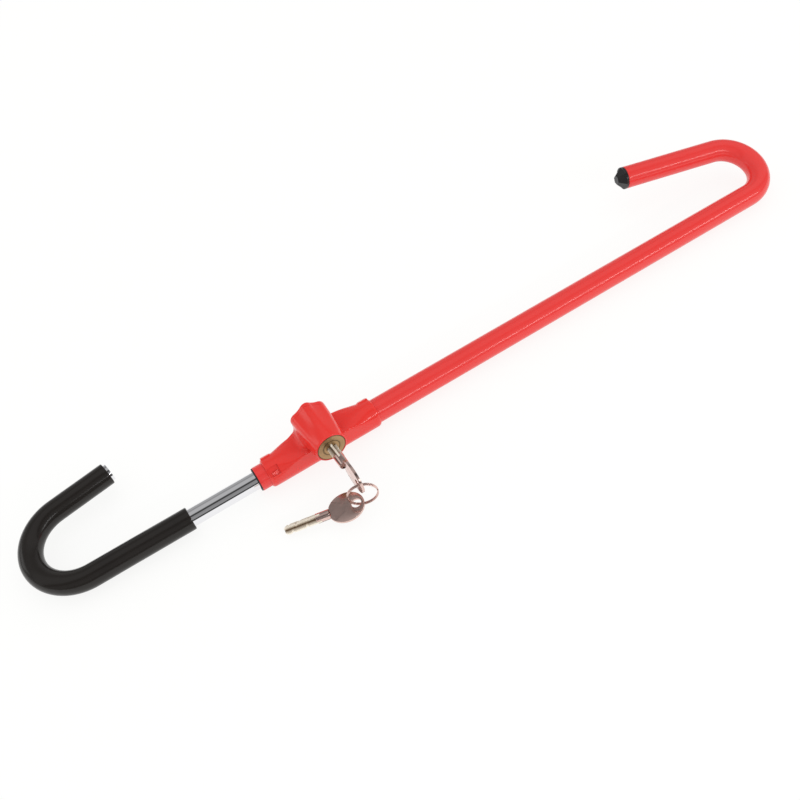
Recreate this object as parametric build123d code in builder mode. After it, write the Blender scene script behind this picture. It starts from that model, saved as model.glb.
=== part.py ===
"""Hook lock for a steering wheel: a red hooked tube, a chrome rod that telescopes in it, and a keyed bolt.

Frame: millimetres, +Z up. X runs along the tube towards its own hook, and the lock barrel crosses over the
tube at X = 0 with its keyhole facing -Y. Z = 0 is the flat underside of the lock housing.
"""

from build123d import *
from math import cos, pi, radians, sin, sqrt
import os

os.makedirs("parts", exist_ok=True)

# Tube and its hook
TUBE_Z = 10.0  # height of the tube's axis
TUBE_R = 8.0
TUBE_BORE_R = 6.5
TUBE_MOUTH_X = -46.0
TUBE_BEND_X = 359.4
TUBE_HOOK_R = 22.97
TUBE_HOOK_TURN = 167.0
TUBE_HOOK_ARM = 72.1
TUBE_HOOK_TILT = 17.0  # the hook's plane, up from level

# Rod, its hook and its sleeve
ROD_R = 5.8
ROD_INNER_X = 214.0
ROD_SPIGOT_R = 4.0
ROD_SPIGOT_X = 206.0
ROD_BEND_X = -156.2
ROD_HOOK_R = 28.64
ROD_HOOK_TURN = 170.8
ROD_HOOK_ARM = 38.3
ROD_HOOK_TILT = 4.3
ROD_TIP = 1.6  # bare end beyond the sleeve
SLEEVE_R = 7.4
SLEEVE_X = -91.7

# Bolt notches turned in the rod
NOTCH_PITCH = 6.4
NOTCH_FIRST = -7
NOTCH_LAST = 28
NOTCH_ROOT_R = 3.9
NOTCH_HALF_ROOT = 1.7
NOTCH_HALF_TOP = 2.0

# Lock barrel, over the tube
BARREL_Z = TUBE_Z + 16.8
FACE_Y = -21.5
FLANGE_R = 9.26
FLANGE_T = 2.4
SHELL_R = 8.0
SHELL_BACK_Y = -3.5
PLUG_R = 5.5
PLUG_BACK_Y = -5.0
RUNNING_FIT = 0.06
KEYWAY_DEPTH = 14.0
KEYWAY_HALF_SPAN = 3.4
KEYWAY_HALF_GAP = 0.75

# Cam and bolt: the cam's eccentric pin goes from 45 degrees above level to 45 below
CAM_R = 5.2
CAM_BACK_Y = -3.3
CAM_PIN_R = 1.2
CAM_PIN_BACK_Y = 0.4
CAM_OFFSET = 1.5
BOLT_HALF_X = 5.0
BOLT_HALF_Y = 2.8
BOLT_TOP_Z = BARREL_Z + 5.4
BOLT_BODY_Z = TUBE_Z + 10.5
BOLT_TIP_Z = TUBE_Z + 6.25
BOLT_TIP_HALF_X = 1.3
BOLT_TIP_HALF_Y = 2.6
BOLT_GAP = 0.2
CHAMBER_TOP_Z = BARREL_Z + 6.6
SPRING_FOOT_Z = BARREL_Z + 3.1
SPRING_R = 1.9
SPRING_WIRE_R = 0.28
SPRING_TURNS = 3

# Steel lock block welded on the tube
BLOCK_HALF_X = 9.0
BLOCK_BACK_Y = 7.8
BLOCK_TOP_Z = BARREL_Z + 7.8
BLOCK_FOOT_Z = TUBE_Z + 5.0
BLOCK_BARREL_R = 9.3
BLOCK_CHAMFER = 2.2

# Moulded housing
WING_R = 9.6
WING_HALF_Y = 9.5
WING_LEFT_X = -39.6
WING_RIGHT_X = 39.4
WING_SLOPE_START = 14.0
WING_SLOPE_DROP = 7.4
RIM_R = 10.6
LOAF_BACK_Y = 9.5
LOAF_FRONT_Y = -15.5
LOAF_HALF_FOOT = 12.9
SEAM_Y = 6.1
SEAM_GAP = 0.1
COVER_GAP = 0.2

# Keys
KEY_HOLE_Y = -55.0
KEY_TIP_Y = -9.5
BLADE_HALF_SPAN = 3.2
BLADE_HALF_T = 0.6
COLLAR_Y = (-38.0, -29.4)
COLLAR_R = 3.4
BOW_CENTRE_Y = -48.6
BOW_HALF_LENGTH = 11.4
BOW_HALF_WIDTH = 10.2
BOW_HALF_T = 0.85
BOW_HOLE_R = 3.1
TONGUE_Y = -33.0
TONGUE_HALF_Z = 2.5
TONGUE_LENGTH = 5.5

# Split ring through both bows
RING_R = 9.2
RING_WIRE_R = 0.65
RING_DIRECTION = Vector(0.944, -0.33, 0)  # level line in the ring's plane
RING_CENTRE = Vector(0, KEY_HOLE_Y, BARREL_Z - 1.7 - RING_R)
SPARE_HOLE = Vector(-5.0, -53.4, TUBE_Z - 1.1)
SPARE_TIP = Vector(-46.1, -40.7, TUBE_Z - 6.0)

COVER_SCREW_X = 7.1
COVER_SCREW_Z = TUBE_Z + 14.0


def save(piece, name):
    """Label a finished piece and write it as its own file."""
    piece.label = name
    export_step(piece, f"parts/{name}.step")


def hook_plane(heading, tilt):
    """The plane of a hook: local X along the heading (+1 or -1), local Y out and up by the tilt."""
    c, s = cos(radians(tilt)), sin(radians(tilt))
    return Plane(origin=(0, 0, TUBE_Z), x_dir=(heading, 0, 0), z_dir=(0, -heading * s, heading * c))


def hook_end(bend_x, radius, turn, arm):
    """The arm's two ends and its direction, in the hook's plane."""
    c, s = cos(radians(turn)), sin(radians(turn))
    start = (bend_x + radius * s, radius * (1 - c))
    return start, (start[0] + arm * c, start[1] + arm * s), (c, s)


def hook_path(plane, start_x, bend_x, radius, turn, arm):
    """Straight run, bend and arm of a hook, as one tangent path."""
    arm_start, arm_end, _ = hook_end(bend_x, radius, turn, arm)
    with BuildLine(plane) as path:
        Line((start_x, 0), (bend_x, 0))
        CenterArc((bend_x, radius), radius, -90, turn)
        Line(arm_start, arm_end)
    return path.line


def arm_plane(plane, bend_x, radius, turn, arm):
    """A plane across the arm's end, facing outwards along the arm."""
    _, end, (c, s) = hook_end(bend_x, radius, turn, arm)
    heading = plane.from_local_coords(Vector(c, s, 0)) - plane.origin
    return Plane(origin=plane.from_local_coords(Vector(end[0], end[1], 0)), z_dir=heading)


def across(x):
    """A plane across the tube at X, centred on its axis, local X along Y and local Y along Z."""
    return Plane(origin=(x, 0, TUBE_Z), x_dir=(0, 1, 0), z_dir=(1, 0, 0))


def facing(y, z=BARREL_Z):
    """A plane across the barrel at Y, facing the keyhole side, with its origin on the barrel's axis."""
    return Plane(origin=(0, y, z), x_dir=(1, 0, 0), z_dir=(0, -1, 0))


TUBE_PLANE = hook_plane(1, TUBE_HOOK_TILT)
ROD_PLANE = hook_plane(-1, ROD_HOOK_TILT)

# ---------------------------------------------------------------- tube and what is fixed in it
with BuildPart() as outer_tube:
    tube_path = hook_path(TUBE_PLANE, TUBE_MOUTH_X, TUBE_BEND_X, TUBE_HOOK_R, TUBE_HOOK_TURN, TUBE_HOOK_ARM)
    with BuildSketch(across(TUBE_MOUTH_X)):
        Circle(TUBE_R)
        Circle(TUBE_BORE_R, mode=Mode.SUBTRACT)
    sweep(path=tube_path)
    with BuildSketch(Plane.XY.offset(TUBE_Z)):
        Rectangle(2 * (BOLT_TIP_HALF_X + BOLT_GAP), 2 * (BOLT_TIP_HALF_Y + BOLT_GAP))
    extrude(amount=TUBE_R + 1, mode=Mode.SUBTRACT)
save(outer_tube.part, "outer_tube")

CAP_RIM_T = 1.6
CAP_HEIGHT = 6.4
CAP_TOP_R = 3.4
CAP_FACETS = 6
CAP_SPIGOT = 9.0
tube_end = arm_plane(TUBE_PLANE, TUBE_BEND_X, TUBE_HOOK_R, TUBE_HOOK_TURN, TUBE_HOOK_ARM)
with BuildPart() as hook_end_cap:
    with BuildSketch(tube_end.offset(-CAP_SPIGOT)):
        Circle(TUBE_BORE_R)
    extrude(amount=CAP_SPIGOT)
    with BuildSketch(tube_end):
        Circle(TUBE_R)
    extrude(amount=CAP_RIM_T)
    with BuildSketch(tube_end.offset(CAP_RIM_T)):
        RegularPolygon(TUBE_R, CAP_FACETS)
    with BuildSketch(tube_end.offset(CAP_HEIGHT)):
        RegularPolygon(CAP_TOP_R, CAP_FACETS)
    loft()
save(hook_end_cap.part, "hook_end_cap")

BUSH_LENGTH = 16.0
BUSH_FLANGE_T = 0.6
BUSH_FLANGE_R = 7.7
with BuildPart() as mouth_bush:
    with BuildSketch(across(TUBE_MOUTH_X)):
        Circle(TUBE_BORE_R)
        Circle(ROD_R + RUNNING_FIT, mode=Mode.SUBTRACT)
    extrude(amount=BUSH_LENGTH)
    with BuildSketch(across(TUBE_MOUTH_X - BUSH_FLANGE_T)):
        Circle(BUSH_FLANGE_R)
        Circle(ROD_R + RUNNING_FIT, mode=Mode.SUBTRACT)
    extrude(amount=BUSH_FLANGE_T)
save(mouth_bush.part, "mouth_bush")

STOP_RING_X = 16.0
STOP_RING_LENGTH = 10.0
with BuildPart() as rod_stop_ring:
    with BuildSketch(across(STOP_RING_X)):
        Circle(TUBE_BORE_R)
        Circle(ROD_R + RUNNING_FIT, mode=Mode.SUBTRACT)
    extrude(amount=STOP_RING_LENGTH)
save(rod_stop_ring.part, "rod_stop_ring")

# ---------------------------------------------------------------- rod and what slides with it
STOP_PIN_R = 1.0
STOP_PIN_X = (ROD_SPIGOT_X + ROD_INNER_X) / 2


def rod_outline():
    """Half section of the straight rod from its bend to its inner end, with every bolt notch."""
    points = [(ROD_BEND_X, 0), (ROD_BEND_X, ROD_R)]
    for number in range(NOTCH_FIRST, NOTCH_LAST + 1):
        x = number * NOTCH_PITCH
        points += [(x - NOTCH_HALF_TOP, ROD_R), (x - NOTCH_HALF_ROOT, NOTCH_ROOT_R)]
        points += [(x + NOTCH_HALF_ROOT, NOTCH_ROOT_R), (x + NOTCH_HALF_TOP, ROD_R)]
    points += [(ROD_SPIGOT_X, ROD_R), (ROD_SPIGOT_X, ROD_SPIGOT_R)]
    points += [(ROD_INNER_X, ROD_SPIGOT_R), (ROD_INNER_X, 0)]
    return points


with BuildPart() as slide_rod:
    with BuildSketch(Plane.XZ):
        with BuildLine():
            Polyline([(x, z + TUBE_Z) for x, z in rod_outline()], close=True)
        make_face()
    revolve(axis=Axis((0, 0, TUBE_Z), (1, 0, 0)))
    arm_start, arm_end, _ = hook_end(-ROD_BEND_X, ROD_HOOK_R, ROD_HOOK_TURN, ROD_HOOK_ARM + ROD_TIP)
    with BuildLine(ROD_PLANE) as rod_hook:
        CenterArc((-ROD_BEND_X, ROD_HOOK_R), ROD_HOOK_R, -90, ROD_HOOK_TURN)
        Line(arm_start, arm_end)
    with BuildSketch(across(ROD_BEND_X)):
        Circle(ROD_R)
    sweep(path=rod_hook.line)
    with BuildSketch(Plane.XZ.offset(-ROD_R - 1)):
        with Locations((STOP_PIN_X, TUBE_Z)):
            Circle(STOP_PIN_R)
    extrude(amount=2 * ROD_R + 2, mode=Mode.SUBTRACT)
save(slide_rod.part, "slide_rod")

SLEEVE_ROUND = 0.9
with BuildPart() as hook_sleeve:
    sleeve_path = hook_path(ROD_PLANE, -SLEEVE_X, -ROD_BEND_X, ROD_HOOK_R, ROD_HOOK_TURN, ROD_HOOK_ARM)
    with BuildSketch(across(SLEEVE_X)):
        Circle(SLEEVE_R)
        Circle(ROD_R, mode=Mode.SUBTRACT)
    sweep(path=sleeve_path)
    end_rims = [e for e in hook_sleeve.edges().filter_by(GeomType.CIRCLE) if abs(e.radius - SLEEVE_R) < 0.01]
    end_rims = [e for e in end_rims if e.length > 2 * pi * SLEEVE_R - 0.1]
    tip_x = ROD_PLANE.from_local_coords(Vector(arm_end[0], arm_end[1], 0)).X
    end_rims = [e for e in end_rims if min(abs(e.center().X - SLEEVE_X), abs(e.center().X - tip_x)) < 3]
    fillet(end_rims, SLEEVE_ROUND)
save(hook_sleeve.part, "hook_sleeve")

STOP_COLLAR_R = TUBE_BORE_R - 0.08
with BuildPart() as rod_stop_collar:
    with BuildSketch(across(ROD_SPIGOT_X)):
        Circle(STOP_COLLAR_R)
        Circle(ROD_SPIGOT_R, mode=Mode.SUBTRACT)
    extrude(amount=ROD_INNER_X - ROD_SPIGOT_X)
    with BuildSketch(Plane.XZ.offset(-ROD_R - 2)):
        with Locations((STOP_PIN_X, TUBE_Z)):
            Circle(STOP_PIN_R)
    extrude(amount=2 * ROD_R + 4, mode=Mode.SUBTRACT)
save(rod_stop_collar.part, "rod_stop_collar")

with BuildPart() as rod_stop_pin:
    with BuildSketch(Plane.XZ.offset(-ROD_R)):
        with Locations((STOP_PIN_X, TUBE_Z)):
            Circle(STOP_PIN_R)
    extrude(amount=2 * ROD_R)
save(rod_stop_pin.part, "rod_stop_pin")

# ---------------------------------------------------------------- lock block on the tube
CAP_SCREW_R = 3.2
CAP_SCREW_TOP_Z = BLOCK_TOP_Z + 1.0
CAP_SCREW_SLOT = (0.9, 0.8)  # width and depth
GRUB_R = 1.5
GRUB_Y = -7.0
GRUB_BITE = 1.6
COVER_SCREW_R = 1.3
COVER_SCREW_DEPTH = 6.5


def block_envelope(extra):
    """Outside of the lock block as primitives, grown by extra, with no bores."""
    with BuildSketch(facing(BLOCK_BACK_Y + extra)) as body:
        with Locations((0, (BLOCK_TOP_Z + BLOCK_FOOT_Z) / 2 - BARREL_Z)):
            Rectangle(2 * (BLOCK_HALF_X + extra), BLOCK_TOP_Z - BLOCK_FOOT_Z + 2 * extra)
        chamfer(body.vertices().group_by(Axis.Y)[-1], BLOCK_CHAMFER)
    extrude(body.sketch, amount=2 * (BLOCK_BACK_Y + extra))
    with BuildSketch(facing(0)) as barrel:
        Circle(BLOCK_BARREL_R + extra)
    extrude(barrel.sketch, amount=-FACE_Y - FLANGE_T + extra)


with BuildPart() as lock_block:
    block_envelope(0)
    with BuildSketch(across(-2 * BLOCK_HALF_X)):
        Circle(TUBE_R)
    extrude(amount=4 * BLOCK_HALF_X, mode=Mode.SUBTRACT)
    with BuildSketch(facing(SHELL_BACK_Y)):
        Circle(SHELL_R)
    extrude(amount=-FACE_Y, mode=Mode.SUBTRACT)
    with BuildSketch(facing(-BOLT_HALF_Y)):
        Circle(CAM_R + 0.4)
    extrude(amount=-SHELL_BACK_Y, mode=Mode.SUBTRACT)
    with BuildSketch(Plane.XY.offset(TUBE_Z)):
        Rectangle(2 * (BOLT_HALF_X + BOLT_GAP), 2 * (BOLT_HALF_Y + BOLT_GAP))
    extrude(amount=CHAMBER_TOP_Z - TUBE_Z, mode=Mode.SUBTRACT)
    with BuildSketch(Plane.XY.offset(TUBE_Z)):
        Circle(CAP_SCREW_R)
    extrude(amount=BLOCK_TOP_Z, mode=Mode.SUBTRACT)
    with BuildSketch(Plane.XY.offset(TUBE_Z)):
        with Locations((0, GRUB_Y)):
            Circle(GRUB_R)
    extrude(amount=BARREL_Z - TUBE_Z, mode=Mode.SUBTRACT)
    with BuildSketch(facing(BLOCK_BACK_Y, COVER_SCREW_Z)):
        with Locations((-COVER_SCREW_X, 0), (COVER_SCREW_X, 0)):
            Circle(COVER_SCREW_R)
    extrude(amount=COVER_SCREW_DEPTH, mode=Mode.SUBTRACT)
save(lock_block.part, "lock_block")

WELD_R = 1.1
WELD_Y = 7.0
WELD_Z = BLOCK_FOOT_Z - 0.9
with BuildPart() as weld_beads:
    with BuildSketch(across(-BLOCK_HALF_X)):
        with Locations((-WELD_Y, WELD_Z - TUBE_Z), (WELD_Y, WELD_Z - TUBE_Z)):
            Circle(WELD_R)
        Circle(TUBE_R, mode=Mode.SUBTRACT)
        with Locations((0, BLOCK_FOOT_Z - TUBE_Z + 2)):
            Rectangle(2 * BLOCK_BACK_Y, 4, mode=Mode.SUBTRACT)
    extrude(amount=2 * BLOCK_HALF_X)
save(weld_beads.part, "weld_beads")

with BuildPart() as spring_cap_screw:
    with BuildSketch(Plane.XY.offset(CHAMBER_TOP_Z)):
        Circle(CAP_SCREW_R)
    extrude(amount=CAP_SCREW_TOP_Z - CHAMBER_TOP_Z)
    with BuildSketch(Plane.XY.offset(CAP_SCREW_TOP_Z)):
        Rectangle(2 * CAP_SCREW_R, CAP_SCREW_SLOT[0])
    extrude(amount=-CAP_SCREW_SLOT[1], mode=Mode.SUBTRACT)
save(spring_cap_screw.part, "spring_cap_screw")

# ---------------------------------------------------------------- lock cylinder
PIN_ROWS_Y = (-16.6, -13.6, -10.6)
PIN_R = 1.0
PIN_KEY_END = BLADE_HALF_SPAN + 0.35
SHEAR_R = PLUG_R - 0.12
DRIVER_START = PLUG_R + RUNNING_FIT + 0.04
DRIVER_END = DRIVER_START + 1.0
PIN_BORE_R = PIN_R + 0.04


def pin_bores(start, end, radius, mode=Mode.ADD):
    """The two rows of pins, above and below the barrel's axis, between two distances from it."""
    for row in PIN_ROWS_Y:
        for side in (1, -1):
            with BuildSketch(Plane(origin=(0, row, BARREL_Z + side * start), z_dir=(0, 0, side))) as bore:
                Circle(radius)
            extrude(bore.sketch, amount=end - start, mode=mode)


with BuildPart() as cylinder_shell:
    with BuildSketch(facing(SHELL_BACK_Y)):
        Circle(SHELL_R)
    extrude(amount=SHELL_BACK_Y - FACE_Y - FLANGE_T)
    with BuildSketch(facing(FACE_Y + FLANGE_T)):
        Circle(FLANGE_R)
    extrude(amount=FLANGE_T)
    with BuildSketch(facing(SHELL_BACK_Y)):
        Circle(PLUG_R + RUNNING_FIT)
    extrude(amount=SHELL_BACK_Y - FACE_Y, mode=Mode.SUBTRACT)
    pin_bores(PLUG_R - 1, SHELL_R - 0.3, PIN_BORE_R, Mode.SUBTRACT)
    with BuildSketch(Plane.XY.offset(BARREL_Z - SHELL_R - 1)):
        with Locations((0, GRUB_Y)):
            Circle(GRUB_R)
    extrude(amount=1 + GRUB_BITE, mode=Mode.SUBTRACT)
save(cylinder_shell.part, "cylinder_shell")

with BuildPart() as cylinder_plug:
    with BuildSketch(facing(PLUG_BACK_Y)):
        Circle(PLUG_R)
    extrude(amount=PLUG_BACK_Y - FACE_Y)
    with BuildSketch(facing(FACE_Y + KEYWAY_DEPTH)):
        Rectangle(2 * KEYWAY_HALF_SPAN, 2 * KEYWAY_HALF_GAP)
        Rectangle(2 * KEYWAY_HALF_GAP, 2 * KEYWAY_HALF_SPAN)
    extrude(amount=KEYWAY_DEPTH, mode=Mode.SUBTRACT)
    pin_bores(PIN_KEY_END - 0.8, PLUG_R + 1, PIN_BORE_R, Mode.SUBTRACT)
save(cylinder_plug.part, "cylinder_plug")

with BuildPart() as key_pins:
    pin_bores(PIN_KEY_END, SHEAR_R, PIN_R)
save(key_pins.part, "key_pins")

with BuildPart() as driver_pins:
    pin_bores(DRIVER_START, DRIVER_END, PIN_R)
save(driver_pins.part, "driver_pins")

PIN_SPRING_R = 0.62
PIN_SPRING_WIRE_R = 0.14
PIN_SPRING_TURNS = 2
PIN_SPRING_FOOT = DRIVER_END + PIN_SPRING_WIRE_R + 0.01
PIN_SPRING_HEIGHT = SHELL_R - 0.3 - PIN_SPRING_FOOT - PIN_SPRING_WIRE_R - 0.01
with BuildPart() as pin_springs:
    for row in PIN_ROWS_Y:
        for side in (1, -1):
            foot = Plane(origin=(0, row, BARREL_Z + side * PIN_SPRING_FOOT), z_dir=(0, 0, side))
            coil = Helix(
                PIN_SPRING_HEIGHT / PIN_SPRING_TURNS,
                PIN_SPRING_HEIGHT,
                PIN_SPRING_R,
                center=foot.origin,
                direction=foot.z_dir,
                mode=Mode.PRIVATE,
            )
            with BuildSketch(Plane(origin=coil @ 0, z_dir=coil % 0)):
                Circle(PIN_SPRING_WIRE_R)
            sweep(path=coil, is_frenet=True)
save(pin_springs.part, "pin_springs")

GRUB_LENGTH = 3.6
GRUB_SOCKET_R = 0.85
GRUB_SOCKET_DEPTH = 1.2
with BuildPart() as cylinder_grub_screw:
    with BuildSketch(Plane.XY.offset(BARREL_Z - SHELL_R + GRUB_BITE)):
        with Locations((0, GRUB_Y)):
            Circle(GRUB_R)
    extrude(amount=-GRUB_LENGTH)
    with BuildSketch(Plane.XY.offset(BARREL_Z - SHELL_R + GRUB_BITE - GRUB_LENGTH)):
        with Locations((0, GRUB_Y)):
            RegularPolygon(GRUB_SOCKET_R, 6)
    extrude(amount=GRUB_SOCKET_DEPTH, mode=Mode.SUBTRACT)
save(cylinder_grub_screw.part, "cylinder_grub_screw")

# ---------------------------------------------------------------- cam, bolt and spring
CAM_PIN_AT = CAM_OFFSET / sqrt(2)
CAM_SCREW_AT = -2.1
CAM_SCREW_HEAD_R = 1.1
CAM_SCREW_HEAD_T = 1.0
CAM_SCREW_R = 0.6
CAM_SCREW_LENGTH = 0.7
with BuildPart() as plug_cam:
    with BuildSketch(facing(CAM_BACK_Y)):
        Circle(CAM_R)
    extrude(amount=CAM_BACK_Y - PLUG_BACK_Y)
    with BuildSketch(facing(CAM_PIN_BACK_Y)):
        with Locations((CAM_PIN_AT, CAM_PIN_AT)):
            Circle(CAM_PIN_R)
    extrude(amount=CAM_PIN_BACK_Y - CAM_BACK_Y)
    with BuildSketch(facing(CAM_BACK_Y)):
        with Locations((CAM_SCREW_AT, CAM_SCREW_AT)):
            Circle(CAM_SCREW_HEAD_R)
    extrude(amount=CAM_SCREW_HEAD_T, mode=Mode.SUBTRACT)
    with BuildSketch(facing(CAM_BACK_Y)):
        with Locations((CAM_SCREW_AT, CAM_SCREW_AT)):
            Circle(CAM_SCREW_R)
    extrude(amount=3, mode=Mode.SUBTRACT)
save(plug_cam.part, "plug_cam")

with BuildPart() as cam_screw:
    with BuildSketch(facing(CAM_BACK_Y)):
        with Locations((CAM_SCREW_AT, CAM_SCREW_AT)):
            Circle(CAM_SCREW_HEAD_R)
    extrude(amount=CAM_SCREW_HEAD_T)
    with BuildSketch(facing(CAM_BACK_Y - CAM_SCREW_HEAD_T)):
        with Locations((CAM_SCREW_AT, CAM_SCREW_AT)):
            Circle(CAM_SCREW_R)
    extrude(amount=CAM_SCREW_LENGTH)
save(cam_screw.part, "cam_screw")

SLOT_HALF_X = 3.4
SLOT_HALF_Z = CAM_PIN_R + 0.14
POCKET_R = SPRING_R + SPRING_WIRE_R + 0.15
with BuildPart() as locking_bolt:
    with BuildSketch(Plane.XY.offset(BOLT_BODY_Z)):
        Rectangle(2 * BOLT_HALF_X, 2 * BOLT_HALF_Y)
    extrude(amount=BOLT_TOP_Z - BOLT_BODY_Z)
    with BuildSketch(Plane.XY.offset(BOLT_TIP_Z)):
        Rectangle(2 * BOLT_TIP_HALF_X, 2 * BOLT_TIP_HALF_Y)
    extrude(amount=BOLT_BODY_Z - BOLT_TIP_Z)
    with BuildSketch(facing(CAM_PIN_BACK_Y + 0.3)):
        with Locations((0, CAM_PIN_AT)):
            Rectangle(2 * SLOT_HALF_X, 2 * SLOT_HALF_Z)
    extrude(amount=2 * BOLT_HALF_Y, mode=Mode.SUBTRACT)
    with BuildSketch(Plane.XY.offset(SPRING_FOOT_Z)):
        Circle(POCKET_R)
    extrude(amount=BOLT_TOP_Z, mode=Mode.SUBTRACT)
save(locking_bolt.part, "locking_bolt")

SPRING_HEIGHT = CHAMBER_TOP_Z - SPRING_FOOT_Z - 2 * SPRING_WIRE_R - 0.06
with BuildPart() as bolt_spring:
    bolt_coil = Helix(
        SPRING_HEIGHT / SPRING_TURNS,
        SPRING_HEIGHT,
        SPRING_R,
        center=(0, 0, SPRING_FOOT_Z + SPRING_WIRE_R + 0.03),
        mode=Mode.PRIVATE,
    )
    with BuildSketch(Plane(origin=bolt_coil @ 0, z_dir=bolt_coil % 0)):
        Circle(SPRING_WIRE_R)
    sweep(path=bolt_coil, is_frenet=True)
save(bolt_spring.part, "bolt_spring")

# ---------------------------------------------------------------- moulded housing, in two halves
CLIP_X = (-38.7, -32.1)
CLIP_LIFT = 46.8  # how far round the wing the clip window faces, up from level
CLIP_WIDTH = 5.4
CLIP_DEPTH = 1.0
PAD_WIDTH = 7.0
NOSE_UNDERSIDE_Z = TUBE_Z + 7.5
SCREW_PROUD = 0.9
SCREW_CLEARANCE = 0.1
SCREW_CROSS = (2.8, 0.7)
SCREW_CROSS_DEPTH = 1.0
TAB_WIDTH = 4.0
TAB_MIDDLE_Z = 5.4
TAB_X = ((-38.6, -32.0), (32.0, 38.6))
TAB_PROUD = 1.2
TAB_T = 1.8
SCREW_HEAD_R = 2.6
SCREW_HEAD_T = 1.8


def wing_corner():
    """Flat top and square shoulders over the tube, sloping away towards the ends."""
    with BuildSketch(Plane.XZ.offset(-WING_HALF_Y)) as side:
        with BuildLine():
            Polyline(
                (WING_LEFT_X, TUBE_Z),
                (WING_LEFT_X, TUBE_Z + WING_R - WING_SLOPE_DROP),
                (-WING_SLOPE_START, TUBE_Z + WING_R),
                (WING_SLOPE_START, TUBE_Z + WING_R),
                (WING_RIGHT_X, TUBE_Z + WING_R - WING_SLOPE_DROP),
                (WING_RIGHT_X, TUBE_Z),
                close=True,
            )
        make_face()
    extrude(side.sketch, amount=2 * WING_HALF_Y)


def loaf_outline():
    """Half-round crown with a raised ridge and a hollow flute each side, over straight flanks."""
    with BuildLine() as outline:
        flank = Line((LOAF_HALF_FOOT, TUBE_Z), (11.4, TUBE_Z + 21.6))
        shoulder = ThreePointArc(flank @ 1, (10.3, TUBE_Z + 24.6), (7.7, TUBE_Z + 26.0))
        flute = ThreePointArc(shoulder @ 1, (5.8, TUBE_Z + 26.9), (4.4, TUBE_Z + 28.6))
        ridge = ThreePointArc(flute @ 1, (2.6, TUBE_Z + 29.7), (0, TUBE_Z + 30.0))
        Line((0, TUBE_Z), flank @ 0)
        Line(ridge @ 1, (0, TUBE_Z))
    return outline.line


def cover_outside():
    """Outside of the whole housing, both halves together."""
    with BuildSketch(across(WING_LEFT_X)) as wings:
        Circle(WING_R)
        with Locations((0, -WING_R)):
            Rectangle(PAD_WIDTH, 2 * (TUBE_Z - WING_R))
    extrude(wings.sketch, amount=WING_RIGHT_X - WING_LEFT_X)
    wing_corner()
    with BuildSketch(Plane.XZ.offset(-LOAF_BACK_Y)) as loaf:
        make_face(loaf_outline())
        mirror(about=Plane.YZ)
    extrude(loaf.sketch, amount=LOAF_BACK_Y + WING_HALF_Y)
    with BuildSketch(Plane.XZ.offset(WING_HALF_Y - 1)) as nose:
        make_face(loaf_outline())
        mirror(about=Plane.YZ)
        with Locations((0, TUBE_Z)):
            Rectangle(4 * LOAF_HALF_FOOT, 2 * (NOSE_UNDERSIDE_Z - TUBE_Z), mode=Mode.SUBTRACT)
    extrude(nose.sketch, amount=-LOAF_FRONT_Y - WING_HALF_Y + 1)
    with BuildSketch(facing(0)) as rim:
        Circle(RIM_R)
    extrude(rim.sketch, amount=-FACE_Y)


def cover_inside():
    """The housing's hollows: tube, lock block, its top screw, the welds and the lock's flange."""
    with BuildPart(mode=Mode.PRIVATE) as room:
        block_envelope(COVER_GAP)
        with BuildSketch(across(2 * WING_LEFT_X)):
            Circle(TUBE_R + 0.05)
        extrude(amount=4 * WING_RIGHT_X)
        with BuildSketch(across(-BLOCK_HALF_X - COVER_GAP)):
            with Locations((-WELD_Y, WELD_Z - TUBE_Z), (WELD_Y, WELD_Z - TUBE_Z)):
                Circle(WELD_R + COVER_GAP)
        extrude(amount=2 * (BLOCK_HALF_X + COVER_GAP))
        with BuildSketch(Plane.XY.offset(BARREL_Z)):
            Circle(CAP_SCREW_R + COVER_GAP)
        extrude(amount=CAP_SCREW_TOP_Z + COVER_GAP - BARREL_Z)
        with BuildSketch(facing(0)):
            Circle(FLANGE_R)
        extrude(amount=-FACE_Y)
        with BuildSketch(Plane.XY.offset(BARREL_Z - BLOCK_BARREL_R - 3)):
            with Locations((0, GRUB_Y)):
                Circle(GRUB_R + COVER_GAP)
        extrude(amount=4)
        with BuildSketch(facing(LOAF_BACK_Y + 1, COVER_SCREW_Z)):
            with Locations((-COVER_SCREW_X, 0), (COVER_SCREW_X, 0)):
                Circle(COVER_SCREW_R + SCREW_CLEARANCE)
        extrude(amount=8)
        with BuildSketch(facing(LOAF_BACK_Y + 1, COVER_SCREW_Z)):
            with Locations((-COVER_SCREW_X, 0), (COVER_SCREW_X, 0)):
                Circle(SCREW_HEAD_R + SCREW_CLEARANCE)
        extrude(amount=1 + SCREW_HEAD_T - SCREW_PROUD)
    add(room.part, mode=Mode.SUBTRACT)


with BuildPart() as front_cover:
    cover_outside()
    cover_inside()
    split(bisect_by=Plane(origin=(0, SEAM_Y - SEAM_GAP, 0), z_dir=(0, 1, 0)), keep=Keep.BOTTOM)
    clip_out = Vector(0, -cos(radians(CLIP_LIFT)), sin(radians(CLIP_LIFT)))
    clip_middle = Vector((CLIP_X[0] + CLIP_X[1]) / 2, 0, TUBE_Z) + clip_out * (WING_R - CLIP_DEPTH)
    with BuildSketch(Plane(origin=clip_middle, x_dir=(1, 0, 0), z_dir=clip_out)):
        Rectangle(CLIP_X[1] - CLIP_X[0], CLIP_WIDTH)
    extrude(amount=2 * CLIP_WIDTH, mode=Mode.SUBTRACT)
save(front_cover.part, "front_cover")

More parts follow.
